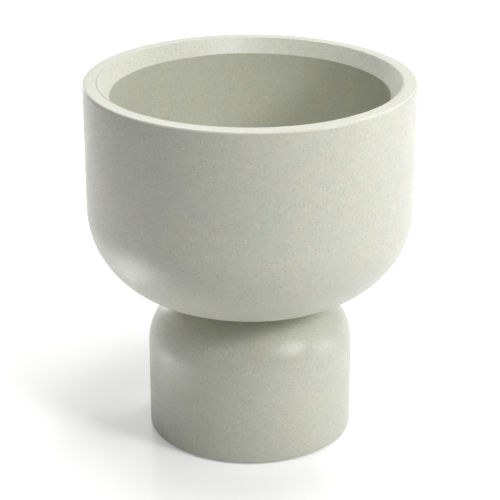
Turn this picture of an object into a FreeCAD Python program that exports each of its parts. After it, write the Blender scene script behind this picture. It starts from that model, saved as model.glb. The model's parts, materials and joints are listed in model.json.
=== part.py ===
import FreeCAD, Part
import math
import os
import Sketcher

# An urn planter. A round-bottomed bowl stands on a barrel-shaped foot. A hollow threaded stem
# clamps the two together through the neck and lets water out into the foot. A planting pot drops
# into the bowl, its bevelled lip nesting in the bowl's rim, and a rubber plug closes the pot's
# drain hole. Rubber pads keep the foot off the floor. Nearly every piece is turned about the Z
# axis, which rises from the middle of the floor.

# The driving dimensions in millimetres, and a few counts, with what each one is.
DIMENSIONS = {
    # bowl
    "bowl_radius": (200, "outside of the bowl"),
    "bowl_height": (266, "bowl underside to rim top"),
    "bowl_corner_round": (109, "outside round between the bowl's wall and underside"),
    "bowl_wall": (5, "wall of the bowl"),
    "rim_edge_round": (3, "outer edge of the rim"),
    "rim_flat": (17, "width of the rim's flat top, outside the seam"),
    "rim_inside_round": (2, "inside corner under the rim's flat"),
    "seat_depth": (5, "upright thickness of the sloping seat under the pot's lip"),
    "seat_clearance": (1.5, "pot's wall to the inner edge of the seat"),
    # inner pot
    "lip_land": (1, "narrow flat on top of the lip, inside the seam"),
    "bevel_width": (14, "bevel of the lip, seen from above"),
    "bevel_drop": (17, "fall of the lip's bevel"),
    "lip_depth": (6.3, "upright thickness of the lip"),
    "lip_edge_round": (0.8, "lower outer edge of the lip"),
    "lip_gap": (0.5, "upright gap between lip and seat"),
    "seam_gap": (0.3, "gap between lip and rim"),
    "seam_round": (0.4, "edges beside the seam"),
    "mouth_round": (2.5, "edge between the bevel and the pot's wall"),
    "pot_wall": (4, "wall of the inner pot"),
    "pot_clearance": (5, "pot's underside above the stem's flange"),
    "ring_inset": (15, "foot ring of the pot inside the bowl's flat floor"),
    "ring_width": (6, "foot ring of the pot"),
    "notch_width": (14, "water notch in the foot ring"),
    "notch_rise": (5, "water notch in the foot ring"),
    "notch_count": (4, "water notches"),
    # drain
    "drain_radius": (8, "drain hole of the pot"),
    "spigot_wall": (2, "spigot under the drain hole"),
    "spigot_length": (15, "spigot below the pot's underside"),
    "overflow_gap": (3, "annulus between spigot and stem"),
    "plug_clearance": (0.08, "plug's shank in the drain hole"),
    "plug_depth": (8, "plug's shank"),
    "plug_taper": (1.2, "lead-in at the end of the plug's shank"),
    "plug_head_reach": (6, "plug's head beyond the hole"),
    "plug_head_rise": (3.5, "plug's head"),
    "plug_edge_round": (1.2, "edges of the plug's head and grip"),
    "grip_neck_radius": (3.5, "neck under the plug's grip"),
    "grip_neck_rise": (4, "neck under the plug's grip"),
    "grip_radius": (6.5, "plug's grip"),
    "grip_rise": (7, "plug's grip"),
    # clamp
    "stem_wall": (4, "wall of the hollow stem"),
    "stem_tail": (8, "stem below the nut"),
    "flange_reach": (18, "stem's flange beyond the stem"),
    "flange_rise": (4, "stem's flange"),
    "grip_notch_width": (8, "notches that hold the flange against turning"),
    "grip_notch_depth": (3, "notches that hold the flange against turning"),
    "grip_notch_count": (4, "notches that hold the flange against turning"),
    "hole_clearance": (0.5, "stem in the plates and rings that it passes"),
    "seal_rise": (2, "seal under the flange"),
    "seal_inset": (1.5, "seal inside the flange's edge"),
    "gasket_rise": (2, "gasket between neck and bowl"),
    "gasket_inset": (1.5, "gasket inside the neck's edge"),
    "gasket_width": (24, "gasket"),
    "washer_reach": (14, "clamp washer beyond the stem"),
    "washer_rise": (3, "clamp washer"),
    "nut_wall": (8, "nut from its thread to its flats"),
    "nut_rise": (12, "nut"),
    "nut_chamfer": (1.5, "nut's corners"),
    "nut_sides": (6, "flats of the nut"),
    "thread_pitch": (4, "stem and nut"),
    "thread_depth": (1.4, "stem and nut"),
    "thread_clearance": (0.2, "nut's thread off the stem's"),
    "clamp_edge_round": (1, "broken edges of the stem"),
    # foot
    "foot_radius": (127.5, "outside of the foot"),
    "foot_wall": (5, "wall of the foot"),
    "shoulder_height": (176, "top of the foot's shoulder above the floor"),
    "neck_radius": (57, "neck between foot and bowl"),
    "neck_rise": (9, "neck above the shoulder"),
    "neck_fillet": (5, "hollow round at the root of the neck"),
    "neck_land": (2.5, "flat ring between that fillet and the shoulder's round"),
    "neck_edge_round": (1, "top edge of the neck"),
    "base_edge_round": (2, "bottom outer edge of the foot"),
    "base_flange_width": (26, "flange turned in at the bottom of the foot"),
    "base_inside_round": (3, "inside corner above that flange"),
    # pads
    "pad_radius": (9, "rubber pad"),
    "pad_rise": (3, "rubber pad"),
    "pad_edge_round": (0.6, "rubber pad"),
    "pad_count": (6, "rubber pads"),
    "socket_depth": (1.2, "pad's socket in the foot"),
    "socket_clearance": (0.1, "pad in its socket"),
}


# ---- sizes ---------------------------------------------------------------------------------

doc = FreeCAD.newDocument("UrnPlanter")
sheet = doc.addObject("Spreadsheet::Sheet", "Sizes")
for row, (word, (value, meaning)) in enumerate(DIMENSIONS.items(), start=1):
    sheet.set(f"A{row}", meaning)
    sheet.set(f"B{row}", str(value))
    sheet.setAlias(f"B{row}", word)
doc.recompute()


class Size:
    """A length that knows its value and the sheet expression that gives it."""

    def __init__(self, value, text):
        self.value = float(value)
        self.text = text

    def __add__(self, other):
        other = as_size(other)
        return Size(self.value + other.value, f"({self.text} + {other.text})")

    def __sub__(self, other):
        other = as_size(other)
        return Size(self.value - other.value, f"({self.text} - {other.text})")

    def __mul__(self, other):
        other = as_size(other)
        return Size(self.value * other.value, f"({self.text} * {other.text})")

    def __truediv__(self, other):
        other = as_size(other)
        return Size(self.value / other.value, f"({self.text} / {other.text})")


def as_size(number):
    """Gives a plain number the same form as a length from the sheet."""
    return number if isinstance(number, Size) else Size(number, str(number))


def size(word):
    """One driving dimension."""
    return Size(sheet.get(word), f"Sizes.{word}")


# Heights above the floor and radii that more than one piece shares.
neck_top = size("shoulder_height") + size("neck_rise")
bowl_base = neck_top + size("gasket_rise")
bowl_floor = bowl_base + size("bowl_wall")
rim_top = bowl_base + size("bowl_height")

lip_radius = size("bowl_radius") - size("rim_flat")
bevel_radius = lip_radius - size("lip_land")
mouth_radius = bevel_radius - size("bevel_width")
pot_radius = mouth_radius + size("pot_wall")
bevel_slope = size("bevel_drop") / size("bevel_width")
pot_corner_round = size("bowl_corner_round") - (size("bowl_radius") - pot_radius)

flange_base = bowl_floor + size("seal_rise")
flange_top = flange_base + size("flange_rise")
pot_base = flange_top + size("pot_clearance")
pot_floor = pot_base + size("pot_wall")

spigot_radius = size("drain_radius") + size("spigot_wall")
stem_bore = spigot_radius + size("overflow_gap")
stem_radius = stem_bore + size("stem_wall")
stem_hole = stem_radius + size("hole_clearance")
flange_radius = stem_radius + size("flange_reach")
thread_core = stem_radius - size("thread_depth")

plate_base = neck_top - size("foot_wall")
nut_top = plate_base - size("washer_rise")
nut_base = nut_top - size("nut_rise")
stem_end = nut_base - size("stem_tail")

foot_base = size("pad_rise") - size("socket_depth")
pad_circle = size("foot_radius") - size("base_flange_width") / 2


# ---- sketches and features -------------------------------------------------------------------

def start(label):
    """Opens the body of one sub-part, in the part's own frame."""
    body = doc.addObject("PartDesign::Body", label)
    body.Label = label
    body.Placement = FreeCAD.Placement()
    return body


def origin_feature(body, role):
    """One of the body's own planes or axes."""
    return next(f for f in body.Origin.OriginFeatures if f.Role == role)


def sketch_on(body, role, name, lift=None):
    """Starts a sketch on one of the body's planes, raised by lift."""
    sketch = body.newObject("Sketcher::SketchObject", name)
    sketch.AttachmentSupport = [(origin_feature(body, role), "")]
    sketch.MapMode = "FlatFace"
    if lift is not None:
        sketch.setExpression("AttachmentOffset.Base.z", lift.text)
    return sketch


def bind(sketch, constraint, length):
    """Adds a dimension to a sketch and ties it to the sheet."""
    index = sketch.addConstraint(constraint)
    sketch.setExpression(f"Constraints[{index}]", length.text)


# A sketch's own numbers for its axes, and for the points of its lines and circles.
ACROSS_AXIS, UPRIGHT_AXIS = range(-1, -3, -1)
START, END, MIDDLE = range(1, 4)
ORIGIN = (ACROSS_AXIS, START)


def locate(sketch, geometry, point, across, up):
    """Ties a point to its distances from the sketch's origin. A plain 0 puts it on an axis."""
    for kind, distance, axis in (
        ("DistanceX", across, UPRIGHT_AXIS),
        ("DistanceY", up, ACROSS_AXIS),
    ):
        if isinstance(distance, Size):
            length = Sketcher.Constraint(kind, *ORIGIN, geometry, point, distance.value)
            bind(sketch, length, distance)
        else:
            sketch.addConstraint(Sketcher.Constraint("PointOnObject", geometry, point, axis))


def round_corner(corner, towards_last, towards_next, radius):
    """Where a round of this radius leaves the two sides of a corner, and its centre."""
    half = towards_last.getAngle(towards_next) / 2
    reach = radius / math.tan(half)
    middle = (towards_last + towards_next).normalize()
    centre = corner + middle * (radius / math.sin(half))
    return corner + towards_last * reach, corner + towards_next * reach, centre


def draw_outline(sketch, corners):
    """Draws a closed outline through corners of (across, up) or (across, up, round)."""
    spots = [FreeCAD.Vector(as_size(c[0]).value, as_size(c[1]).value, 0) for c in corners]
    count = len(corners)
    arrive, leave, centres = list(spots), list(spots), {}
    for k, corner in enumerate(corners):
        if len(corner) == 3:
            towards_last = (spots[k - 1] - spots[k]).normalize()
            towards_next = (spots[(k + 1) % count] - spots[k]).normalize()
            arrive[k], leave[k], centres[k] = round_corner(
                spots[k], towards_last, towards_next, corner[2].value
            )
    for k in range(count):
        sketch.addGeometry(Part.LineSegment(leave[k], arrive[(k + 1) % count]))
    for k, corner in enumerate(corners):
        before, after = (k - 1) % count, k
        if k not in centres:
            sketch.addConstraint(Sketcher.Constraint("Coincident", before, END, after, START))
            locate(sketch, after, START, corner[0], corner[1])
            continue
        sketch_round(sketch, before, after, arrive[k], leave[k], centres[k], corner[2])
        point = sketch.addGeometry(Part.Point(spots[k]), True)
        sketch.addConstraint(Sketcher.Constraint("PointOnObject", point, START, before))
        sketch.addConstraint(Sketcher.Constraint("PointOnObject", point, START, after))
        locate(sketch, point, START, corner[0], corner[1])


def sketch_round(sketch, before, after, first, last, centre, radius):
    """Joins two lines of a sketch with a tangent arc of the given radius."""
    angle_first = math.atan2(first.y - centre.y, first.x - centre.x)
    angle_last = math.atan2(last.y - centre.y, last.x - centre.x)
    turns_left = (first - centre).cross(last - centre).z > 0
    begin, finish = (angle_first, angle_last) if turns_left else (angle_last, angle_first)
    circle = Part.Circle(centre, FreeCAD.Vector(0, 0, 1), radius.value)
    arc = sketch.addGeometry(Part.ArcOfCircle(circle, begin, finish))
    near, far = (START, END) if turns_left else (END, START)
    sketch.addConstraint(Sketcher.Constraint("Tangent", before, END, arc, near))
    sketch.addConstraint(Sketcher.Constraint("Tangent", arc, far, after, START))
    bind(sketch, Sketcher.Constraint("Radius", arc, radius.value), radius)


def turn(body, name, corners, kind="PartDesign::Revolution"):
    """Turns an outline of (radius, height) corners about the Z axis."""
    sketch = sketch_on(body, "XZ_Plane", name + "Outline")
    draw_outline(sketch, corners)
    feature = body.newObject(kind, name)
    feature.Profile = sketch
    feature.ReferenceAxis = (sketch, ["V_Axis"])
    feature.Angle = 360
    return feature


def turned_ring(label, inner, outer, bottom, rise):
    """A plain flat ring."""
    body = start(label)
    top = bottom + rise
    turn(body, "Ring", [(inner, bottom), (outer, bottom), (outer, top), (inner, top)])


def cut_up(body, name, sketch, depth):
    """Pockets upwards from a sketch, and makes sure that it cuts."""
    doc.recompute()
    before = body.Shape.Volume
    pocket = body.newObject("PartDesign::Pocket", name)
    pocket.Profile = sketch
    pocket.Reversed = True
    pocket.setExpression("Length", depth.text)
    doc.recompute()
    if body.Shape.Volume >= before:
        raise RuntimeError(f"{name} cuts nothing")
    return pocket


def repeat_around(body, feature, count):
    """Repeats a feature evenly about the Z axis."""
    pattern = body.newObject("PartDesign::PolarPattern", feature.Name + "Around")
    pattern.Originals = [feature]
    pattern.Axis = (origin_feature(body, "Z_Axis"), [""])
    pattern.Angle = 360
    pattern.setExpression("Occurrences", count.text)
    body.Tip = pattern


def draw_slot(sketch, near, far, width):
    """Draws a rectangle that lies evenly across the sketch's X axis."""
    half = width.value / 2
    spots = [
        FreeCAD.Vector(near.value, -half, 0),
        FreeCAD.Vector(far.value, -half, 0),
        FreeCAD.Vector(far.value, half, 0),
        FreeCAD.Vector(near.value, half, 0),
    ]
    for k in range(4):
        sketch.addGeometry(Part.LineSegment(spots[k], spots[(k + 1) % 4]))
    for k in range(4):
        sketch.addConstraint(Sketcher.Constraint("Coincident", k, END, (k + 1) % 4, START))
    sketch.addConstraint(Sketcher.Constraint("Horizontal", 0))
    sketch.addConstraint(Sketcher.Constraint("Horizontal", 2))
    sketch.addConstraint(Sketcher.Constraint("Vertical", 1))
    sketch.addConstraint(Sketcher.Constraint("Symmetric", 0, START, 2, END, ACROSS_AXIS))
    bind(sketch, Sketcher.Constraint("DistanceX", *ORIGIN, 0, START, near.value), near)
    bind(sketch, Sketcher.Constraint("DistanceX", *ORIGIN, 0, END, far.value), far)
    bind(sketch, Sketcher.Constraint("DistanceY", 1, START, 1, END, width.value), width)


def thread_corners(slack):
    """The section of the screw thread, grown by slack on every side."""
    pitch = size("thread_pitch")
    root = thread_core - size("thread_depth") / 2
    crest = stem_radius + slack
    first = stem_end + pitch / 2
    return [
        (root, first - slack),
        (root, first + pitch / 2 + slack),
        (crest, first + pitch * 3 / 8 + slack),
        (crest, first + pitch / 8 - slack),
    ]


def wind_thread(body, kind, slack):
    """Winds the thread's section up the stem's lower end."""
    sketch = sketch_on(body, "XZ_Plane", "ThreadSection")
    draw_outline(sketch, thread_corners(as_size(slack)))
    thread = body.newObject(kind, "Thread")
    thread.Profile = sketch
    thread.ReferenceAxis = (sketch, ["V_Axis"])
    thread.Mode = "pitch-height-angle"
    thread.setExpression("Pitch", "Sizes.thread_pitch")
    thread.setExpression("Height", (plate_base - stem_end).text)


# ---- bowl ----------------------------------------------------------------------------------

def lip_top(radius):
    """Height of the lip's bevel, carried on to this radius."""
    return rim_top - (bevel_radius - radius) * bevel_slope


def lip_under(radius):
    """Height of the lip's underside at this radius."""
    return lip_top(radius) - size("lip_depth")


def make_bowl_shell():
    """The bowl: one turned wall with a thick rim folded in and down to a sloping seat."""
    outside = size("bowl_radius")
    corner = size("bowl_corner_round")
    wall = size("bowl_wall")
    inside = outside - wall
    rim_mouth = lip_radius + size("seam_gap")
    seat_edge = pot_radius + size("seat_clearance")
    seat_under = size("lip_depth") + size("lip_gap") + size("seat_depth")
    rim_under = rim_top - wall
    fold = bevel_radius + (seat_under - wall) / bevel_slope
    turn(start("bowl_shell"), "Wall", [
        (stem_hole, bowl_base),
        (outside, bowl_base, corner),
        (outside, rim_top, size("rim_edge_round")),
        (rim_mouth, rim_top, size("seam_round")),
        (rim_mouth, lip_under(rim_mouth) - size("lip_gap")),
        (seat_edge, lip_under(seat_edge) - size("lip_gap")),
        (seat_edge, lip_top(seat_edge) - seat_under),
        (fold, rim_under),
        (inside, rim_under, size("rim_inside_round")),
        (inside, bowl_floor, corner - wall),
        (stem_hole, bowl_floor),
    ])


def make_inner_pot():
    """The drop-in pot: bevelled lip, round-bottomed wall, drain spigot and a notched foot ring."""
    body = start("inner_pot")
    spigot_end = pot_base - size("spigot_length")
    turn(body, "Wall", [
        (size("drain_radius"), pot_floor),
        (mouth_radius, pot_floor, pot_corner_round - size("pot_wall")),
        (mouth_radius, rim_top - size("bevel_drop"), size("mouth_round")),
        (bevel_radius, rim_top, size("seam_round")),
        (lip_radius, rim_top, size("seam_round")),
        (lip_radius, lip_under(lip_radius), size("lip_edge_round")),
        (pot_radius, lip_under(pot_radius)),
        (pot_radius, pot_base, pot_corner_round),
        (spigot_radius, pot_base),
        (spigot_radius, spigot_end),
        (size("drain_radius"), spigot_end),
    ])
    ring_outer = size("bowl_radius") - size("bowl_corner_round") - size("ring_inset")
    ring_inner = ring_outer - size("ring_width")
    ring_top = pot_base + size("pot_wall") / 2
    turn(body, "FootRing", [
        (ring_inner, bowl_floor),
        (ring_outer, bowl_floor),
        (ring_outer, ring_top),
        (ring_inner, ring_top),
    ])
    sketch = sketch_on(body, "XY_Plane", "NotchOutline", bowl_floor)
    draw_slot(sketch, ring_inner - size("ring_width"), ring_outer + size("ring_width"),
              size("notch_width"))
    notch = cut_up(body, "Notch", sketch, size("notch_rise"))
    repeat_around(body, notch, size("notch_count"))


def make_drain_plug():
    """The rubber plug: tapered shank, head that seats on the pot's floor, and a grip."""
    shank = size("drain_radius") - size("plug_clearance")
    head = size("drain_radius") + size("plug_head_reach")
    shank_end = pot_floor - size("plug_depth")
    head_top = pot_floor + size("plug_head_rise")
    grip_base = head_top + size("grip_neck_rise")
    grip_top = grip_base + size("grip_rise")
    edge = size("plug_edge_round")
    turn(start("drain_plug"), "Plug", [
        (0, shank_end),
        (shank - size("plug_taper"), shank_end),
        (shank, shank_end + size("plug_taper") * 2),
        (shank, pot_floor),
        (head, pot_floor),
        (head, head_top, edge),
        (size("grip_neck_radius"), head_top, edge),
        (size("grip_neck_radius"), grip_base, edge),
        (size("grip_radius"), grip_base, edge),
        (size("grip_radius"), grip_top, edge * 2),
        (0, grip_top),
    ])


# ---- clamp through the neck ----------------------------------------------------------------

def make_drain_stem():
    """The hollow stem: flange on the bowl's floor and a screw thread at its lower end."""
    body = start("drain_stem")
    edge = size("clamp_edge_round")
    turn(body, "Tube", [
        (stem_bore, flange_top, edge),
        (flange_radius, flange_top, edge),
        (flange_radius, flange_base),
        (stem_radius, flange_base),
        (stem_radius, plate_base),
        (thread_core, plate_base),
        (thread_core, stem_end),
        (stem_bore, stem_end),
    ])
    sketch = sketch_on(body, "XY_Plane", "GripNotchOutline", flange_base)
    depth = size("grip_notch_depth")
    draw_slot(sketch, flange_radius - depth, flange_radius + depth, size("grip_notch_width"))
    notch = cut_up(body, "GripNotch", sketch, size("flange_rise"))
    repeat_around(body, notch, size("grip_notch_count"))
    wind_thread(body, "PartDesign::AdditiveHelix", 0)


def make_clamp_rings():
    """The flat rings round the stem: seal, gasket and washer."""
    turned_ring("stem_seal", stem_hole, flange_radius - size("seal_inset"), bowl_floor,
                size("seal_rise"))
    gasket_outer = size("neck_radius") - size("gasket_inset")
    turned_ring("neck_gasket", gasket_outer - size("gasket_width"), gasket_outer, neck_top,
                size("gasket_rise"))
    turned_ring("clamp_washer", stem_hole, stem_radius + size("washer_reach"), nut_top,
                size("washer_rise"))


def make_lock_nut():
    """The nut: a chamfered disc with its flats cut, bored and threaded to the stem."""
    body = start("lock_nut")
    slack = size("thread_clearance")
    half_flats = stem_radius + size("nut_wall")
    half_corners = half_flats / math.cos(math.pi / size("nut_sides").value)
    chamfer = size("nut_chamfer")
    bore = thread_core + slack
    turn(body, "Blank", [
        (bore, nut_base),
        (half_corners - chamfer * 2, nut_base),
        (half_corners, nut_base + chamfer),
        (half_corners, nut_top - chamfer),
        (half_corners - chamfer * 2, nut_top),
        (bore, nut_top),
    ])
    sketch = sketch_on(body, "XY_Plane", "FlatOutline", nut_base)
    draw_slot(sketch, half_flats, half_flats + size("nut_wall"), half_corners * 2)
    flat = cut_up(body, "Flat", sketch, size("nut_rise"))
    repeat_around(body, flat, size("nut_sides"))
    wind_thread(body, "PartDesign::SubtractiveHelix", slack)


# ---- foot ----------------------------------------------------------------------------------

def make_pedestal_shell():
    """The barrel foot: straight wall, quarter-round shoulder, short neck, flange with sockets."""
    body = start("pedestal_shell")
    outside = size("foot_radius")
    wall = size("foot_wall")
    neck = size("neck_radius")
    shoulder_round = outside - neck - size("neck_fillet") - size("neck_land")
    shoulder = size("shoulder_height")
    flange_inner = outside - size("base_flange_width")
    turn(body, "Wall", [
        (flange_inner, foot_base),
        (outside, foot_base, size("base_edge_round")),
        (outside, shoulder, shoulder_round),
        (neck, shoulder, size("neck_fillet")),
        (neck, neck_top, size("neck_edge_round")),
        (stem_hole, neck_top),
        (stem_hole, plate_base),
        (neck - wall, plate_base),
        (neck - wall, shoulder - wall, size("neck_fillet")),
        (outside - wall, shoulder - wall, shoulder_round - wall),
        (outside - wall, foot_base + wall, size("base_inside_round")),
        (flange_inner, foot_base + wall),
    ])
    sketch = sketch_on(body, "XY_Plane", "SocketOutline", foot_base)
    radius = size("pad_radius") + size("socket_clearance")
    centre = FreeCAD.Vector(pad_circle.value, 0, 0)
    sketch.addGeometry(Part.Circle(centre, FreeCAD.Vector(0, 0, 1), radius.value))
    locate(sketch, 0, MIDDLE, pad_circle, 0)
    bind(sketch, Sketcher.Constraint("Radius", 0, radius.value), radius)
    socket = cut_up(body, "Socket", sketch, size("socket_depth"))
    repeat_around(body, socket, size("pad_count"))


def make_foot_pads():
    """The rubber pads: discs glued in the foot's sockets, which meet the floor."""
    body = start("foot_pads")
    edge = size("pad_edge_round")
    rise = size("pad_rise")
    sketch = sketch_on(body, "XZ_Plane", "PadOutline")
    draw_outline(sketch, [
        (pad_circle, 0),
        (pad_circle + size("pad_radius"), 0, edge),
        (pad_circle + size("pad_radius"), rise, edge),
        (pad_circle, rise),
    ])
    axis_foot = FreeCAD.Vector(pad_circle.value, 0, 0)
    axis_head = FreeCAD.Vector(pad_circle.value, rise.value, 0)
    axis = sketch.addGeometry(Part.LineSegment(axis_foot, axis_head), True)
    locate(sketch, axis, START, pad_circle, 0)
    locate(sketch, axis, END, pad_circle, rise)
    pad = body.newObject("PartDesign::Revolution", "Disc")
    pad.Profile = sketch
    pad.ReferenceAxis = (sketch, ["Axis0"])
    pad.Angle = 360
    doc.recompute()
    repeat_around(body, pad, size("pad_count"))


# ---- build, check and write ----------------------------------------------------------------

make_bowl_shell()
make_inner_pot()
make_drain_plug()
make_drain_stem()
make_clamp_rings()
make_lock_nut()
make_pedestal_shell()
make_foot_pads()
doc.recompute()

for item in doc.Objects:
    if "Invalid" in item.State or "Error" in item.State:
        raise RuntimeError(f"{item.Label} is {item.State}")

os.makedirs("parts", exist_ok=True)
bodies = [item for item in doc.Objects if item.TypeId == "PartDesign::Body"]
for body in bodies:
    if body.Shape.isNull() or not body.Shape.isValid():
        raise RuntimeError(f"{body.Label} has no valid shape")
for body in bodies:
    body.Shape.exportStep(f"parts/{body.Label}.step")
    print(f"{body.Label}: {len(body.Shape.Solids)} solid(s), {body.Shape.Volume / 1000:.2f} cm3")
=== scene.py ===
import json
import math

import bmesh
import bpy
import numpy as np
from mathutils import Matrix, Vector

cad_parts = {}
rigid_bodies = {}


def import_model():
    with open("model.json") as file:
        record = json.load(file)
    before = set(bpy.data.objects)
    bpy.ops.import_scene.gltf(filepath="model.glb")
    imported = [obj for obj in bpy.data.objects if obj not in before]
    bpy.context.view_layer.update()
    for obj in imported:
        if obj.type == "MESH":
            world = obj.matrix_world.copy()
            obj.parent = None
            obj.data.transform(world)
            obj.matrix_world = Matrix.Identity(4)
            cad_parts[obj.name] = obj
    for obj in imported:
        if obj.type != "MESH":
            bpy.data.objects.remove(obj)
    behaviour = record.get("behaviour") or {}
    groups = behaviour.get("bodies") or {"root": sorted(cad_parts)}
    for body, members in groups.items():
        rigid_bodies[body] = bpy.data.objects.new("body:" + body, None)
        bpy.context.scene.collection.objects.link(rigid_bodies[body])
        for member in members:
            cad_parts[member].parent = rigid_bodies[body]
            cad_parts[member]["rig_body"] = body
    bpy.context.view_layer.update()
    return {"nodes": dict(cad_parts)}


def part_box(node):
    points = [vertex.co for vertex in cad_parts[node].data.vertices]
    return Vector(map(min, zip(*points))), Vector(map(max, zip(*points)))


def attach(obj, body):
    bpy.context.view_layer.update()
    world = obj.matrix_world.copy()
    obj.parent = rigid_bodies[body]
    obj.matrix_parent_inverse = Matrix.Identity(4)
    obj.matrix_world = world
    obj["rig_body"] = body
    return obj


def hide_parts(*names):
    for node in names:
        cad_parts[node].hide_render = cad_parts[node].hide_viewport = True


bl_info = {
    "name": "Urn Planter",
    "version": (1, 0, 0),
    "blender": (4, 5, 0),
    "location": "View3D > Sidebar > Planter",
    "description": "Dresses the packed urn planter: moulded shells, drain fittings, finishes, studio",
    "category": "Add Mesh",
}

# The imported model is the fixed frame. Lengths are metres, and the planter's axis of turning is Z.
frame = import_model()

MM = 0.001
WHITE = (1.0, 1.0, 1.0, 1.0)


def node_low(node):
    """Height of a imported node's lowest point."""
    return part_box(node)[0].z


def node_high(node):
    """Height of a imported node's highest point."""
    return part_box(node)[1].z


def node_radius(node):
    """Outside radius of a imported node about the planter's axis."""
    low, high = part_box(node)
    return round(max(high.x, -low.x, high.y, -low.y), 5)


# ---- what a user may change ----------------------------------------------------------------

def length(name, description, default):
    """A length property in metres."""
    return bpy.props.FloatProperty(
        name=name, description=description, default=default, min=0.0, precision=5,
        subtype="DISTANCE", unit="LENGTH",
    )


def factor(name, description, default):
    """A property from 0 to 1."""
    return bpy.props.FloatProperty(
        name=name, description=description, default=default, min=0.0, max=1.0, subtype="FACTOR",
    )


def colour(name, description, default):
    """A linear colour property."""
    return bpy.props.FloatVectorProperty(
        name=name, description=description, default=default, min=0.0, max=1.0, size=3,
        subtype="COLOR",
    )


def watts(name, description, default):
    """The power of one lamp."""
    return bpy.props.FloatProperty(
        name=name, description=description, default=default, min=0.0, unit="POWER",
    )


def angle(name, description, degrees):
    """An angle property, its default given in degrees."""
    return bpy.props.FloatProperty(
        name=name, description=description, default=math.radians(degrees),
        subtype="ANGLE", unit="ROTATION",
    )


class PlanterShells(bpy.types.PropertyGroup):
    """Walls, rims and rounds of the bowl, the inner pot and the foot."""

    bowl_corner_round: length("Bowl corner", "Outside round from wall to underside", 109 * MM)
    bowl_wall: length("Bowl wall", "Wall of the bowl", 5 * MM)
    rim_edge_round: length("Rim edge", "Outer edge of the rim", 3 * MM)
    rim_inside_round: length("Rim inside", "Inside corner under the rim", 2 * MM)
    seam_gap: length("Seam", "Gap between the bowl's rim and the pot's lip", 0.3 * MM)
    seam_round: length("Seam edges", "Round of the two edges beside the seam", 0.4 * MM)
    seat_depth: length("Seat", "Thickness of the sloping seat under the lip", 5 * MM)
    seat_clearance: length("Seat clearance", "Pot's wall to the seat's inner edge", 1.5 * MM)
    lip_land: length("Lip land", "Narrow flat inside the seam", 1 * MM)
    bevel_width: length("Bevel width", "Bevel of the lip, seen from above", 14 * MM)
    bevel_drop: length("Bevel drop", "Fall of the lip's bevel", 17 * MM)
    lip_depth: length("Lip depth", "Upright thickness of the lip", 6.3 * MM)
    lip_edge_round: length("Lip edge", "Lower outer edge of the lip", 0.8 * MM)
    lip_gap: length("Lip gap", "Upright gap between lip and seat", 0.5 * MM)
    mouth_round: length("Mouth edge", "Edge between the bevel and the pot's wall", 2.5 * MM)
    pot_wall: length("Pot wall", "Wall of the inner pot", 4 * MM)
    spigot_wall: length("Spigot wall", "Wall of the spigot round the drain hole", 2 * MM)
    ring_radius: length("Foot ring", "Outside radius of the pot's foot ring", 76 * MM)
    ring_width: length("Foot ring width", "Width of the pot's foot ring", 6 * MM)
    notch_width: length("Notch width", "Water notches in the foot ring", 14 * MM)
    notch_rise: length("Notch height", "Water notches in the foot ring", 5 * MM)
    foot_wall: length("Foot wall", "Wall of the foot", 5 * MM)
    neck_radius: length("Neck", "Radius of the neck under the bowl", 57 * MM)
    neck_rise: length("Neck height", "Neck above the shoulder", 9 * MM)
    neck_fillet: length("Neck fillet", "Hollow round at the root of the neck", 5 * MM)
    neck_edge_round: length("Neck edge", "Top edge of the neck", 1 * MM)
    shoulder_round: length("Shoulder", "Round between the foot's wall and top", 63 * MM)
    base_edge_round: length("Base edge", "Bottom outer edge of the foot", 2 * MM)
    base_inside_round: length("Base inside", "Inside corner above the base flange", 3 * MM)
    base_flange_width: length("Base flange", "Flange turned in at the bottom", 26 * MM)
    facets: bpy.props.IntProperty(
        name="Facets", description="Facets round a shell", default=384, min=24,
    )


class PlanterFittings(bpy.types.PropertyGroup):
    """Sizes of the drain fittings and the pads."""

    stem_hole: length("Stem holes", "Holes that the stem passes through", 17.5 * MM)
    gasket_hole: length("Gasket hole", "Hole of the gasket under the bowl", 31.5 * MM)
    drain_radius: length("Drain hole", "Radius of the pot's drain hole", 8 * MM)
    plug_clearance: length("Plug clearance", "Plug's shank in the drain hole", 0.08 * MM)
    plug_depth: length("Plug depth", "Plug's shank below the pot's floor", 8 * MM)
    plug_taper: length("Plug taper", "Lead-in at the end of the shank", 1.2 * MM)
    plug_head_rise: length("Plug head", "Height of the plug's head", 3.5 * MM)
    plug_edge_round: length("Plug edges", "Edges of the plug's head and grip", 1.2 * MM)
    grip_neck_radius: length("Grip neck", "Neck under the plug's grip", 3.5 * MM)
    grip_neck_rise: length("Grip neck height", "Neck under the plug's grip", 4 * MM)
    grip_radius: length("Grip", "Radius of the plug's grip", 6.5 * MM)
    pad_radius: length("Pad", "Radius of a floor pad", 9 * MM)
    pad_edge_round: length("Pad edge", "Edges of a floor pad", 0.6 * MM)
    pad_count: bpy.props.IntProperty(
        name="Pads", description="Floor pads under the foot", default=6, min=3,
    )
    ring_edge_round: length("Ring edges", "Edges of washer, seal and gasket", 0.3 * MM)
    facets: bpy.props.IntProperty(
        name="Facets", description="Facets round a fitting", default=128, min=24,
    )


class PlanterFinish(bpy.types.PropertyGroup):
    """Colours and textures of the finishes."""

    resin: colour("Resin", "Body colour of the stone-filled resin", (0.59, 0.605, 0.516))
    dark_speck: colour("Dark specks", "Dark mineral specks", (0.17, 0.17, 0.14))
    pale_speck: colour("Pale specks", "Pale mineral chips", (0.78, 0.78, 0.70))
    speck_spacing: length("Speck spacing", "Spacing of the fine specks", 1.7 * MM)
    resin_roughness: factor("Resin roughness", "Roughness of the resin", 0.36)
    plastic: colour("Plastic", "Black plastic of stem and nut", (0.03, 0.03, 0.032))
    black_rubber: colour("Black rubber", "Gasket and seal", (0.02, 0.02, 0.02))
    grey_rubber: colour("Grey rubber", "Plug and pads", (0.16, 0.165, 0.16))
    steel: colour("Steel", "Clamp washer", (0.6, 0.6, 0.59))


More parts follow.
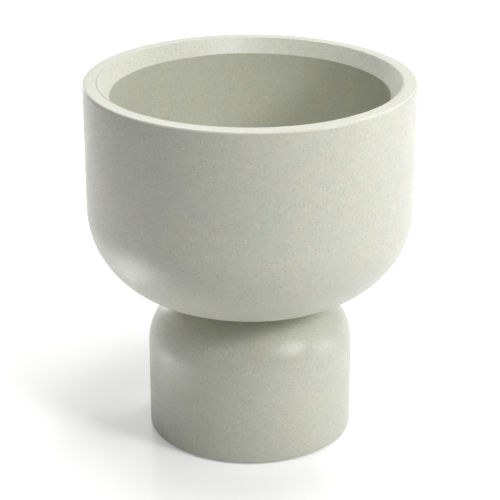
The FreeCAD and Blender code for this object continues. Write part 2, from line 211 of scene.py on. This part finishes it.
class PlanterStudio(bpy.types.PropertyGroup):
    """Camera, lamps and floor."""

    camera_distance: length("Camera distance", "Camera in front of the planter's axis", 2.0104)
    camera_height: length("Camera height", "Camera above the floor", 1.0674)
    camera_tilt: angle("Camera tilt", "Camera's tilt below level", 22.5685)
    focal_length: bpy.props.FloatProperty(
        name="Focal length", description="Millimetres on a 36 mm wide sensor", default=126.275,
        min=1.0,
    )
    key: watts("Key", "Softbox at the upper right", 19.5)
    high: watts("High key", "Softbox above the key, for the bevel inside the rim", 12.0)
    top: watts("Top", "Overhead softbox", 13.0)
    fill: watts("Fill", "Large softbox at the front left", 1.0)
    right: watts("Right", "Softbox at the right", 1.5)
    right_low: watts("Low right", "Softbox low at the right", 8.5)
    back_right: watts("Back right", "Softbox behind the planter at the right", 13.5)
    back_left: watts("Back left", "Softbox behind the planter at the left", 7.5)
    edge_left: watts("Left edge", "Low softbox behind the planter at the left", 6.5)
    bounce_left: watts("Left bounce", "Small panel lying on the floor at the left", 0.65)
    ambient: factor("Ambient", "Strength of the room's light", 0.05)
    floor_colour: colour("Floor", "Colour of the floor", (0.88, 0.88, 0.88))
    floor_glow: factor("Floor glow", "White added to the floor under the planter", 0.27)
    floor_reach: length("Floor reach", "Distance at which the floor is plain white", 1.2)
    floor_roughness: factor("Floor roughness", "Blur of the floor's faint reflection", 0.1)


# ---- shapes --------------------------------------------------------------------------------

# spacing of points along a round, and the fewest and most steps in one
ARC_STEP = 1.5 * MM
ARC_STEPS = (6, 40)
# spacing of points along a straight run, and how close to its ends the holding points lie
RUN_STEP = 15 * MM
HOLD = 0.6 * MM
# edges that bend more than this are shaded sharp
SHARP = math.radians(38)
# points this close are one: at the poles of turned grids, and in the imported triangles
POLE_MERGE = 0.001 * MM
PACKED_MERGE = 0.002 * MM


def unit(vector):
    """A vector's direction."""
    return vector / np.linalg.norm(vector)


def arc_points(corner, last, following, radius):
    """Points of a round that is tangent to both sides of a corner.

    The round leaves each side at radius / tan(half the corner's angle). Its points are the
    centre plus (first sin((1 - t) turn) + final sin(t turn)) / sin(turn), where first and final
    are the arms from the centre to the round's ends and t runs from 0 to 1.
    """
    to_last, to_next = unit(last - corner), unit(following - corner)
    half = math.acos(np.clip(to_last @ to_next, -1, 1)) / 2
    centre = corner + unit(to_last + to_next) * radius / math.sin(half)
    reach = radius / math.tan(half)
    first = corner + to_last * reach - centre
    final = corner + to_next * reach - centre
    turn = math.pi - 2 * half
    steps = int(np.clip(turn * radius / ARC_STEP, *ARC_STEPS))
    t = np.linspace(0, 1, steps + 1)[:, None]
    return centre + (first * np.sin((1 - t) * turn) + final * np.sin(t * turn)) / math.sin(turn)


def run_points(first, final):
    """Points inside a straight run: one close to each end, to hold the shading, and even steps."""
    span = np.linalg.norm(final - first)
    if span < 4 * HOLD:
        return np.empty((0, 2))
    places = np.linspace(HOLD, span - HOLD, 2 + int(span / RUN_STEP))
    return first + (final - first) / span * places[:, None]


def outline(corners):
    """Counter-clockwise outline through (radius, height) corners.

    A third number is the corner's round. An outline whose ends lie on the axis stays open there.
    """
    spots = np.array([corner[:2] for corner in corners])
    following = np.roll(spots, -1, axis=0)
    bends = [
        arc_points(spots[k], spots[k - 1], following[k], corner[2]) if len(corner) == 3
        else spots[k][None]
        for k, corner in enumerate(corners)
    ]
    parts = []
    for bend, after in zip(bends, bends[1:]):
        parts += [bend, run_points(bend[-1], after[0])]
    parts.append(bends[-1])
    if not on_axis(spots):
        parts.append(run_points(bends[-1][-1], bends[0][0]))
    points = np.concatenate(parts)
    across, up = points.T
    runs_clockwise = np.sum(across * np.roll(up, -1) - np.roll(across, -1) * up) < 0
    return points[::-1] if runs_clockwise else points


def on_axis(points):
    """Whether an outline starts and ends on the axis."""
    return points[0][0] == 0 and points[-1][0] == 0


def turned_grid(points, facets, change=None):
    """Surface of revolution: outline point (r, z) at angle a lies at (r cos a, r sin a, z).

    A change carries the arrays r, z and a over to a new z, which cuts notches.
    """
    around = np.arange(facets) * 2 * math.pi / facets
    across, up, around = np.broadcast_arrays(points[:, :1], points[:, 1:], around[None])
    if change is not None:
        up = change(across, up, around)
    return np.stack([across * np.cos(around), across * np.sin(around), up], axis=-1)


def grid_faces(rows, columns, closed):
    """Quads between neighbouring rows and columns; columns close, and rows do where asked."""
    here = np.arange(rows * columns).reshape(rows, columns)
    beside = np.roll(here, -1, axis=1)
    quads = np.stack([
        here, beside, np.roll(beside, -1, axis=0), np.roll(here, -1, axis=0),
    ], axis=-1)
    return (quads if closed else quads[:-1]).reshape(-1, 4)


def finish_mesh(mesh, merge):
    """Merges points closer than merge, and shades smooth except across sharp edges."""
    work = bmesh.new()
    work.from_mesh(mesh)
    bmesh.ops.remove_doubles(work, verts=work.verts, dist=merge)
    work.to_mesh(mesh)
    work.free()
    mesh.shade_smooth()
    mesh.set_sharp_from_angle(angle=SHARP)


def grids_to_mesh(name, grids, closed):
    """One mesh from grids of points, its poles merged."""
    points, faces, offset = [], [], 0
    for grid in grids:
        rows, columns = grid.shape[:2]
        points.append(grid.reshape(-1, 3))
        faces.append(grid_faces(rows, columns, closed) + offset)
        offset += rows * columns
    mesh = bpy.data.meshes.new(name)
    mesh.from_pydata(np.concatenate(points).tolist(), [], np.concatenate(faces).tolist())
    finish_mesh(mesh, POLE_MERGE)
    return mesh


def turned_mesh(name, corners, facets, change=None):
    """One mesh turned from an outline."""
    points = outline(corners)
    return grids_to_mesh(name, [turned_grid(points, facets, change)], not on_axis(points))


def merged_copy(name, node):
    """A smooth-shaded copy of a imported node's mesh, its loose triangles merged."""
    mesh = frame["nodes"][node].data.copy()
    mesh.name = name
    finish_mesh(mesh, PACKED_MERGE)
    return mesh


def place(mesh, node, slot, finish):
    """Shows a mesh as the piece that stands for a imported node, riding on the node's body."""
    piece = bpy.data.objects.new(mesh.name, mesh)
    bpy.context.scene.collection.objects.link(piece)
    mesh.materials.clear()
    mesh.materials.append(finish_for(slot, finish))
    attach(piece, frame["nodes"][node]["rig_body"])
    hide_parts(node)


# ---- finishes ------------------------------------------------------------------------------

# smallest speck over the largest, and the width of a speck's soft edge in spacings
SMALLEST = 0.4
SOFT_EDGE = 0.1
# kinds of specks: spacing over the fine one, share of cells, size in spacings, strength
FINE_SPECKS = (1.0, 0.5, 0.5, 0.33)
RARE_SPECKS = (3.1, 0.3, 0.2, 0.6)
PALE_SPECKS = (1.4, 0.3, 0.42, 0.6)
# the resin's mottling: waves to the metre, and the tints that it blends
MOTTLE, CLOUDS = 26.0, 95.0
WARM, COOL, CLOUDED = (1.02, 1.0, 0.97), (0.975, 0.985, 1.0), 0.93
# the resin's skin: fine grain and soft unevenness, in waves to the metre, and their depths
GRAIN, UNEVEN, UNEVEN_SHARE = 900.0, 260.0, 2.0
BOWL_GRAIN, POT_GRAIN = 0.05 * MM, 0.035 * MM
# how far the resin's roughness strays below and above its value, and on a fine speck
SMOOTHER, ROUGHER, SPECK_ROUGHER = 0.04, 0.05, 0.08
RESIN_IOR = 1.6
# roughness of the other finishes, from the smoothest to the roughest place
PLASTIC_ROUGHNESS = (0.42, 0.58)
RUBBER_ROUGHNESS = (0.68, 0.85)
STEEL_ROUGHNESS = (0.24, 0.38)
# how much brighter scuffs and dusty bloom are, and how much darker stains on the steel
SCUFFED, BLOOMED, STAINED = 2.2, 1.7, 0.8
# depths of the other finishes' grain
PLASTIC_GRAIN, RUBBER_GRAIN, STEEL_GRAIN = 0.02 * MM, 0.03 * MM, 0.01 * MM


class Recipe:
    """Builds one procedural material node by node. Patterns read Object coordinates."""

    def __init__(self, name):
        self.material = bpy.data.materials.new(name)
        self.material.use_nodes = True
        self.tree = self.material.node_tree
        self.shader = self.tree.nodes["Principled BSDF"]
        self.spot = self.add("ShaderNodeTexCoord").outputs["Object"]

    def add(self, kind, settings=None, **sockets):
        """Adds a node. A socket's name has _ for a space; its value is a number or an output."""
        node = self.tree.nodes.new(kind)
        for key, value in (settings or {}).items():
            setattr(node, key, value)
        self.feed(node, sockets)
        return node

    def feed(self, node, sockets):
        """Links an output to each named or numbered socket, or sets the socket's own value."""
        for key, value in sockets.items():
            socket = node.inputs[key.replace("_", " ") if isinstance(key, str) else key]
            if isinstance(value, bpy.types.NodeSocket):
                self.tree.links.new(value, socket)
            else:
                socket.default_value = value

    def noise(self, scale, detail=3.0, roughness=0.5):
        """Soft noise with scale waves to the metre, from 0 to 1."""
        node = self.add("ShaderNodeTexNoise", Vector=self.spot, Scale=scale, Detail=detail,
                        Roughness=roughness)
        return node.outputs["Fac"]

    def mix(self, share, first, second):
        """Blends two colours by a share from 0 to 1."""
        node = self.add("ShaderNodeMix", {"data_type": "RGBA"})
        self.feed(node, {0: share, 6: opaque(first), 7: opaque(second)})
        return node.outputs[2]

    def sum(self, operation, first, second):
        """One arithmetic step on two numbers."""
        node = self.add("ShaderNodeMath", {"operation": operation})
        self.feed(node, {0: first, 1: second})
        return node.outputs[0]

    def remap(self, value, low, high, to_low, to_high):
        """Carries low..high over to to_low..to_high, and holds the ends."""
        node = self.add("ShaderNodeMapRange", Value=value, From_Min=low, From_Max=high,
                        To_Min=to_low, To_Max=to_high)
        return node.outputs["Result"]

    def specks(self, spacing, share, size):
        """Round specks, 1 inside and 0 outside.

        Space is cut into cells of the given spacing, each round a random point. A cell holds a
        speck where its random red is under the share. The speck reaches from the point to
        between SMALLEST and 1 times the size, in spacings, by the cell's random green, and
        fades out over SOFT_EDGE spacings.
        """
        cells = self.add("ShaderNodeTexVoronoi", Vector=self.spot, Scale=1 / spacing)
        random = self.add("ShaderNodeSeparateColor", Color=cells.outputs["Color"])
        chosen = self.sum("LESS_THAN", random.outputs["Red"], share)
        reach = self.remap(random.outputs["Green"], 0.0, 1.0, size * SMALLEST, size)
        inside = self.sum("SUBTRACT", reach, cells.outputs["Distance"])
        soft = self.remap(inside, 0.0, SOFT_EDGE, 0.0, 1.0)
        return self.sum("MULTIPLY", soft, chosen)

    def speckle(self, tone, spacing, kind, tint):
        """Lays one kind of speck over a colour. Returns the new colour and the specks."""
        apart, share, size, strength = kind
        mask = self.specks(spacing * apart, share, size)
        return self.mix(self.sum("MULTIPLY", mask, strength), tone, tint), mask

    def bump(self, height, depth):
        """A normal from a height pattern of the given depth in metres."""
        return self.add("ShaderNodeBump", Height=height, Distance=depth).outputs["Normal"]

    def finish(self, **sockets):
        """Feeds the shader's sockets and returns the material."""
        self.feed(self.shader, sockets)
        return self.material


def opaque(tint):
    """A linear colour with full alpha; an output stays as it is."""
    return tint if isinstance(tint, bpy.types.NodeSocket) else (*tint, 1.0)


def tinted(tint, *factors):
    """A colour times one factor, or a factor for each channel."""
    return tuple(np.clip(np.array(tint) * factors, 0, 1))


def speckled_resin(name, finish, grain_depth=BOWL_GRAIN):
    """Stone-filled resin: soft mottling, dense fine dark specks, rarer large ones, pale chips."""
    recipe = Recipe(name)
    spacing = finish.speck_spacing
    mottle = recipe.remap(recipe.noise(MOTTLE, 4.0, 0.6), 0.35, 0.65, 0.0, 1.0)
    tone = recipe.mix(mottle, tinted(finish.resin, *WARM), tinted(finish.resin, *COOL))
    cloud = recipe.remap(recipe.noise(CLOUDS, 3.0, 0.6), 0.35, 0.7, 0.0, 0.5)
    tone = recipe.mix(cloud, tone, tinted(finish.resin, CLOUDED))
    tone, fine = recipe.speckle(tone, spacing, FINE_SPECKS, finish.dark_speck)
    tone, _ = recipe.speckle(tone, spacing, RARE_SPECKS, finish.dark_speck)
    tone, _ = recipe.speckle(tone, spacing, PALE_SPECKS, finish.pale_speck)
    grain = recipe.noise(GRAIN, 2.0, 0.6)
    skin = recipe.sum("MULTIPLY", recipe.noise(UNEVEN, 3.0, 0.55), UNEVEN_SHARE)
    sheen = recipe.remap(recipe.noise(60.0), 0.3, 0.7, finish.resin_roughness - SMOOTHER,
                         finish.resin_roughness + ROUGHER)
    return recipe.finish(
        Base_Color=tone,
        Roughness=recipe.sum("ADD", sheen, recipe.sum("MULTIPLY", fine, SPECK_ROUGHER)),
        IOR=RESIN_IOR,
        Normal=recipe.bump(recipe.sum("ADD", grain, skin), grain_depth),
    )


def smoother_resin(name, finish):
    """The same resin from a polished mould, for the inner pot."""
    return speckled_resin(name, finish, POT_GRAIN)


def black_plastic(name, finish):
    """Black moulded plastic with a fine spark-eroded grain and faint scuffs."""
    recipe = Recipe(name)
    scuff = recipe.remap(recipe.noise(180.0, 4.0, 0.65), 0.55, 0.8, 0.0, 0.35)
    return recipe.finish(
        Base_Color=recipe.mix(scuff, finish.plastic, tinted(finish.plastic, SCUFFED)),
        Roughness=recipe.remap(recipe.noise(120.0), 0.3, 0.7, *PLASTIC_ROUGHNESS),
        Normal=recipe.bump(recipe.noise(2600.0, 2.0), PLASTIC_GRAIN),
    )


def matt_rubber(name, tint):
    """Matt rubber with a dusty bloom and a fine skin."""
    recipe = Recipe(name)
    bloom = recipe.remap(recipe.noise(140.0, 5.0, 0.7), 0.45, 0.8, 0.0, 0.4)
    return recipe.finish(
        Base_Color=recipe.mix(bloom, tint, tinted(tint, BLOOMED)),
        Roughness=recipe.remap(recipe.noise(90.0), 0.3, 0.7, *RUBBER_ROUGHNESS),
        Normal=recipe.bump(recipe.noise(1500.0), RUBBER_GRAIN),
    )


def black_rubber(name, finish):
    """The rubber of gasket and seal."""
    return matt_rubber(name, finish.black_rubber)


def grey_rubber(name, finish):
    """The rubber of plug and pads."""
    return matt_rubber(name, finish.grey_rubber)


def turned_steel(name, finish):
    """Stainless steel with fine rings from turning: waves of the distance from the Z axis."""
    recipe = Recipe(name)
    rings = recipe.add("ShaderNodeTexWave", {"wave_type": "RINGS", "rings_direction": "Z"},
                       Vector=recipe.spot, Scale=700.0, Distortion=0.6, Detail=2.0).outputs["Fac"]
    return recipe.finish(
        Base_Color=recipe.mix(recipe.noise(260.0), finish.steel, tinted(finish.steel, STAINED)),
        Roughness=recipe.remap(rings, 0.0, 1.0, *STEEL_ROUGHNESS),
        Metallic=1.0,
        Normal=recipe.bump(rings, STEEL_GRAIN),
    )


FINISHES = {
    "speckled_resin": speckled_resin,
    "speckled_resin_liner": smoother_resin,
    "black_plastic": black_plastic,
    "black_rubber": black_rubber,
    "grey_rubber": grey_rubber,
    "stainless_steel": turned_steel,
}


def finish_for(slot, finish):
    """The material of a slot, made the first time that it is asked for."""
    name = slot + "_finish"
    return bpy.data.materials.get(name) or FINISHES[slot](name, finish)


# ---- pieces --------------------------------------------------------------------------------

class LipLine:
    """Radii and heights of the pot's bevelled lip, which the bowl's seat follows."""

    def __init__(self, shells):
        self.rim_top = node_high("bowl_shell")
        self.outside = node_radius("inner_pot")
        self.bevel = self.outside - shells.lip_land
        self.mouth = self.bevel - shells.bevel_width
        self.slope = shells.bevel_drop / shells.bevel_width

    def top(self, radius):
        """Height of the bevel, carried on to this radius."""
        return self.rim_top - (self.bevel - radius) * self.slope


class PLANTER_OT_bowl(bpy.types.Operator):
    """Makes the outer bowl with its folded rim and the sloping seat for the pot"""

    bl_idname = "planter.bowl"
    bl_label = "Bowl"

    def execute(self, context):
        shells, fittings = context.scene.planter_shells, context.scene.planter_fittings
        lip = LipLine(shells)
        base, outside = node_low("bowl_shell"), node_radius("bowl_shell")
        wall, corner = shells.bowl_wall, shells.bowl_corner_round
        rim_mouth = lip.outside + shells.seam_gap
        seat_edge = lip.mouth + shells.pot_wall + shells.seat_clearance
        seat_top = shells.lip_depth + shells.lip_gap
        seat_under = seat_top + shells.seat_depth
        fold = lip.bevel + (seat_under - wall) / lip.slope
        mesh = turned_mesh("outer_bowl", [
            (fittings.stem_hole, base),
            (outside, base, corner),
            (outside, lip.rim_top, shells.rim_edge_round),
            (rim_mouth, lip.rim_top, shells.seam_round),
            (rim_mouth, lip.top(rim_mouth) - seat_top),
            (seat_edge, lip.top(seat_edge) - seat_top),
            (seat_edge, lip.top(seat_edge) - seat_under),
            (fold, lip.rim_top - wall),
            (outside - wall, lip.rim_top - wall, shells.rim_inside_round),
            (outside - wall, base + wall, corner - wall),
            (fittings.stem_hole, base + wall),
        ], shells.facets)
        place(mesh, "bowl_shell", "speckled_resin", context.scene.planter_finish)
        return {"FINISHED"}


class PLANTER_OT_pot(bpy.types.Operator):
    """Makes the drop-in pot: bevelled lip, round-bottomed wall, notched foot ring and spigot"""

    bl_idname = "planter.pot"
    bl_label = "Inner pot"

    def execute(self, context):
        shells, fittings = context.scene.planter_shells, context.scene.planter_fittings
        lip = LipLine(shells)
        hole = fittings.drain_radius
        floor = node_low("drain_plug") + fittings.plug_depth
        under = floor - shells.pot_wall
        outside = lip.mouth + shells.pot_wall
        corner = shells.bowl_corner_round - (node_radius("bowl_shell") - outside)
        spigot, spigot_end = hole + shells.spigot_wall, node_low("inner_pot")
        ring_outer = shells.ring_radius
        ring_inner = ring_outer - shells.ring_width
        ring_base = node_low("bowl_shell") + shells.bowl_wall

        def notch(across, up, around):
            """Lifts the ring's underside where it lies within the notch's half width of X or Y."""
            in_ring = (across >= ring_inner) & (across <= ring_outer)
            off_axis = np.minimum(np.abs(np.cos(around)), np.abs(np.sin(around))) * across
            in_notch = in_ring & (off_axis < shells.notch_width / 2) & (up < under)
            return np.where(in_notch, np.maximum(up, ring_base + shells.notch_rise), up)

        mesh = turned_mesh("inner_pot_shell", [
            (hole, floor),
            (lip.mouth, floor, corner - shells.pot_wall),
            (lip.mouth, lip.rim_top - shells.bevel_drop, shells.mouth_round),
            (lip.bevel, lip.rim_top, shells.seam_round),
            (lip.outside, lip.rim_top, shells.seam_round),
            (lip.outside, lip.top(lip.outside) - shells.lip_depth, shells.lip_edge_round),
            (outside, lip.top(outside) - shells.lip_depth),
            (outside, under, corner),
            (ring_outer, under),
            (ring_outer, ring_base),
            (ring_inner, ring_base),
            (ring_inner, under),
            (spigot, under),
            (spigot, spigot_end),
            (hole, spigot_end),
        ], shells.facets, notch)
        place(mesh, "inner_pot", "speckled_resin_liner", context.scene.planter_finish)
        return {"FINISHED"}


class PLANTER_OT_plug(bpy.types.Operator):
    """Makes the rubber plug: tapered shank, seating head and grip"""

    bl_idname = "planter.plug"
    bl_label = "Drain plug"

    def execute(self, context):
        fittings = context.scene.planter_fittings
        low, high = node_low("drain_plug"), node_high("drain_plug")
        shank = fittings.drain_radius - fittings.plug_clearance
        floor = low + fittings.plug_depth
        head, head_top = node_radius("drain_plug"), floor + fittings.plug_head_rise
        grip_base = head_top + fittings.grip_neck_rise
        edge = fittings.plug_edge_round
        mesh = turned_mesh("pot_plug", [
            (0, low),
            (shank - fittings.plug_taper, low),
            (shank, low + fittings.plug_taper * 2),
            (shank, floor),
            (head, floor),
            (head, head_top, edge),
            (fittings.grip_neck_radius, head_top, edge),
            (fittings.grip_neck_radius, grip_base, edge),
            (fittings.grip_radius, grip_base, edge),
            (fittings.grip_radius, high, edge * 2),
            (0, high),
        ], fittings.facets)
        place(mesh, "drain_plug", "grey_rubber", context.scene.planter_finish)
        return {"FINISHED"}


class PLANTER_OT_foot(bpy.types.Operator):
    """Makes the barrel foot with its rounded shoulder, short neck and base flange"""

    bl_idname = "planter.foot"
    bl_label = "Foot"

    def execute(self, context):
        shells, fittings = context.scene.planter_shells, context.scene.planter_fittings
        outside, base = node_radius("pedestal_shell"), node_low("pedestal_shell")
        neck, neck_top = shells.neck_radius, node_high("pedestal_shell")
        wall, hole = shells.foot_wall, fittings.stem_hole
        shoulder = neck_top - shells.neck_rise
        flange = outside - shells.base_flange_width
        mesh = turned_mesh("barrel_foot", [
            (flange, base),
            (outside, base, shells.base_edge_round),
            (outside, shoulder, shells.shoulder_round),
            (neck, shoulder, shells.neck_fillet),
            (neck, neck_top, shells.neck_edge_round),
            (hole, neck_top),
            (hole, neck_top - wall),
            (neck - wall, neck_top - wall),
            (neck - wall, shoulder - wall, shells.neck_fillet),
            (outside - wall, shoulder - wall, shells.shoulder_round - wall),
            (outside - wall, base + wall, shells.base_inside_round),
            (flange, base + wall),
        ], shells.facets)
        place(mesh, "pedestal_shell", "speckled_resin", context.scene.planter_finish)
        return {"FINISHED"}


class PLANTER_OT_threaded(bpy.types.Operator):
    """Makes the threaded drain stem and its hexagon nut"""

    bl_idname = "planter.threaded"
    bl_label = "Stem and nut"

    def execute(self, context):
        finish = context.scene.planter_finish
        place(merged_copy("threaded_stem", "drain_stem"), "drain_stem", "black_plastic", finish)
        place(merged_copy("hexagon_nut", "lock_nut"), "lock_nut", "black_plastic", finish)
        return {"FINISHED"}


class PLANTER_OT_rings(bpy.types.Operator):
    """Makes the flat rings of the clamp: seal, gasket and washer"""

    bl_idname = "planter.rings"
    bl_label = "Seal, gasket and washer"

    def execute(self, context):
        fittings = context.scene.planter_fittings
        for name, node, slot, hole in (
            ("flange_seal", "stem_seal", "black_rubber", fittings.stem_hole),
            ("bowl_gasket", "neck_gasket", "black_rubber", fittings.gasket_hole),
            ("steel_washer", "clamp_washer", "stainless_steel", fittings.stem_hole),
        ):
            low, high, outside = node_low(node), node_high(node), node_radius(node)
            corners = [(hole, low), (outside, low), (outside, high), (hole, high)]
            edge = fittings.ring_edge_round
            mesh = turned_mesh(name, [(*corner, edge) for corner in corners], fittings.facets)
            place(mesh, node, slot, context.scene.planter_finish)
        return {"FINISHED"}


class PLANTER_OT_pads(bpy.types.Operator):
    """Makes the rubber pads, whose upper parts sit in the foot's underside"""

    bl_idname = "planter.pads"
    bl_label = "Floor pads"

    def execute(self, context):
        fittings = context.scene.planter_fittings
        low, high = node_low("foot_pads"), node_high("foot_pads")
        radius, edge = fittings.pad_radius, fittings.pad_edge_round
        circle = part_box("foot_pads")[1].x - radius
        points = outline([(0, low), (radius, low, edge), (radius, high, edge), (0, high)])
        pad = turned_grid(points, fittings.facets // 2)
        places = np.arange(fittings.pad_count) * 2 * math.pi / fittings.pad_count
        centres = circle * np.stack([np.cos(places), np.sin(places), 0 * places], axis=-1)
        mesh = grids_to_mesh("floor_pads", [pad + centre for centre in centres], False)
        place(mesh, "foot_pads", "grey_rubber", context.scene.planter_finish)
        return {"FINISHED"}


# ---- studio --------------------------------------------------------------------------------

LAMP_REACH = 2.2
LAMP_AIM = (0.0, 0.0, 0.25)
# name, degrees from the camera's side towards +X, degrees above level, side in metres
SOFTBOXES = (
    ("key", 54, 31, 0.45),
    ("high", 30, 61, 0.45),
    ("top", 0, 88, 0.5),
    ("fill", -30, 22, 1.0),
    ("right", 105, 28, 0.6),
    ("right_low", 90, 5, 0.45),
    ("back_right", 150, 45, 0.45),
    ("back_left", -170, 45, 0.45),
    ("edge_left", -150, 6, 0.45),
)
# the panel that lies on the floor and faces straight up
BOUNCE_SPOT = (-0.46, -0.08, 0.01)
BOUNCE_AIM = (-0.46, -0.08, 1.01)
BOUNCE_SIDE = 0.3
FLOOR_HALF = 6.0
# roughness of the floor where the camera doesn't see it directly
FLOOR_MATT = 0.9
# share of the floor's reach at which the glow starts to rise
GLOW_START = 0.2
SENSOR_WIDTH = 36.0
CAMERA_CLIP = 0.05


def softbox(name, spot, aim, side, power):
    """A square area lamp at spot that faces aim and stays out of the camera's view."""
    data = bpy.data.lights.new(name, "AREA")
    data.size = side
    data.energy = power
    lamp = bpy.data.objects.new(name + "_lamp", data)
    lamp.visible_camera = False
    bpy.context.scene.collection.objects.link(lamp)
    lamp.location = spot
    lamp.rotation_euler = (Vector(aim) - Vector(spot)).to_track_quat("-Z", "Y").to_euler()


def spot_round(azimuth, elevation):
    """The spot at an angle from the camera's side and an angle above level, about the aim."""
    azimuth, elevation = math.radians(azimuth), math.radians(elevation)
    flat = math.cos(elevation)
    way = Vector((math.sin(azimuth) * flat, -math.cos(azimuth) * flat, math.sin(elevation)))
    return Vector(LAMP_AIM) + way * LAMP_REACH


class PLANTER_OT_stage(bpy.types.Operator):
    """Makes the floor, the room's light, the softboxes and the camera"""

    bl_idname = "planter.stage"
    bl_label = "Studio"

    def execute(self, context):
        scene = context.scene
        studio = scene.planter_studio
        half = FLOOR_HALF
        mesh = bpy.data.meshes.new("floor")
        mesh.from_pydata(
            [(-half, -half, 0), (half, -half, 0), (half, half, 0), (-half, half, 0)], [],
            [(0, 1, 2, 3)],
        )
        floor = bpy.data.objects.new("floor", mesh)
        scene.collection.objects.link(floor)
        recipe = Recipe("studio_floor")
        rays = recipe.add("ShaderNodeLightPath").outputs
        camera = rays["Is Camera Ray"]
        mirrored = recipe.sum("MAXIMUM", rays["Is Glossy Ray"], rays["Is Transmission Ray"])
        away = recipe.add("ShaderNodeVectorMath", {"operation": "LENGTH"})
        recipe.feed(away, {0: recipe.spot})
        glow = recipe.remap(away.outputs["Value"], studio.floor_reach * GLOW_START, studio.floor_reach,
                            studio.floor_glow, 1.0)
        mesh.materials.append(recipe.finish(
            Base_Color=opaque(studio.floor_colour),
            Roughness=recipe.remap(camera, 0.0, 1.0, FLOOR_MATT, studio.floor_roughness),
            Emission_Color=WHITE,
            Emission_Strength=recipe.sum("MULTIPLY", recipe.sum("MAXIMUM", camera, mirrored), glow),
        ))

        world = bpy.data.worlds.new("studio_room")
        world.use_nodes = True
        tree = world.node_tree
        background = tree.nodes["Background"]
        rays = tree.nodes.new("ShaderNodeLightPath").outputs
        seen = rays["Is Camera Ray"]
        for kind in ("Is Glossy Ray", "Is Transmission Ray"):
            either = tree.nodes.new("ShaderNodeMath")
            either.operation = "MAXIMUM"
            tree.links.new(seen, either.inputs[0])
            tree.links.new(rays[kind], either.inputs[1])
            seen = either.outputs["Value"]
        strength = tree.nodes.new("ShaderNodeMapRange")
        strength.inputs["To Min"].default_value = studio.ambient
        strength.inputs["To Max"].default_value = 1.0
        tree.links.new(seen, strength.inputs["Value"])
        tree.links.new(strength.outputs["Result"], background.inputs["Strength"])
        background.inputs["Color"].default_value = WHITE
        scene.world = world

        for name, azimuth, elevation, side in SOFTBOXES:
            softbox(name, spot_round(azimuth, elevation), LAMP_AIM, side, getattr(studio, name))
        softbox("bounce_left", BOUNCE_SPOT, BOUNCE_AIM, BOUNCE_SIDE, studio.bounce_left)

        data = bpy.data.cameras.new("studio_camera")
        data.sensor_width = SENSOR_WIDTH
        data.lens = studio.focal_length
        data.clip_start = CAMERA_CLIP
        camera = bpy.data.objects.new("studio_camera", data)
        scene.collection.objects.link(camera)
        camera.location = (0.0, -studio.camera_distance, studio.camera_height)
        camera.rotation_euler = (math.pi / 2 - studio.camera_tilt, 0.0, 0.0)
        scene.camera = camera
        scene.view_settings.view_transform = "Standard"
        return {"FINISHED"}


# ---- sidebar -------------------------------------------------------------------------------

class PLANTER_PT_sidebar(bpy.types.Panel):
    """Lists the planter's operators and sizes in the sidebar"""

    bl_idname = "PLANTER_PT_sidebar"
    bl_label = "Urn Planter"
    bl_space_type = "VIEW_3D"
    bl_region_type = "UI"
    bl_category = "Planter"

    def draw(self, context):
        for operator in OPERATORS:
            self.layout.operator(operator.bl_idname)
        for pointer, group in GROUPS.items():
            box = self.layout.box()
            for name in group.__annotations__:
                box.prop(getattr(context.scene, pointer), name)


OPERATORS = (
    PLANTER_OT_bowl,
    PLANTER_OT_pot,
    PLANTER_OT_plug,
    PLANTER_OT_foot,
    PLANTER_OT_threaded,
    PLANTER_OT_rings,
    PLANTER_OT_pads,
    PLANTER_OT_stage,
)
GROUPS = {
    "planter_shells": PlanterShells,
    "planter_fittings": PlanterFittings,
    "planter_finish": PlanterFinish,
    "planter_studio": PlanterStudio,
}


def register():
    """Registers the property groups, the operators and the panel."""
    for pointer, group in GROUPS.items():
        bpy.utils.register_class(group)
        setattr(bpy.types.Scene, pointer, bpy.props.PointerProperty(type=group))
    for item in (*OPERATORS, PLANTER_PT_sidebar):
        bpy.utils.register_class(item)


def unregister():
    """Takes back what register did."""
    for item in reversed((*OPERATORS, PLANTER_PT_sidebar)):
        bpy.utils.unregister_class(item)
    for pointer, group in GROUPS.items():
        delattr(bpy.types.Scene, pointer)
        bpy.utils.unregister_class(group)


def main():
    """Builds every piece and the studio."""
    register()
    bpy.ops.planter.bowl()
    bpy.ops.planter.pot()
    bpy.ops.planter.plug()
    bpy.ops.planter.foot()
    bpy.ops.planter.threaded()
    bpy.ops.planter.rings()
    bpy.ops.planter.pads()
    bpy.ops.planter.stage()


if __name__ == "__main__":
    main()
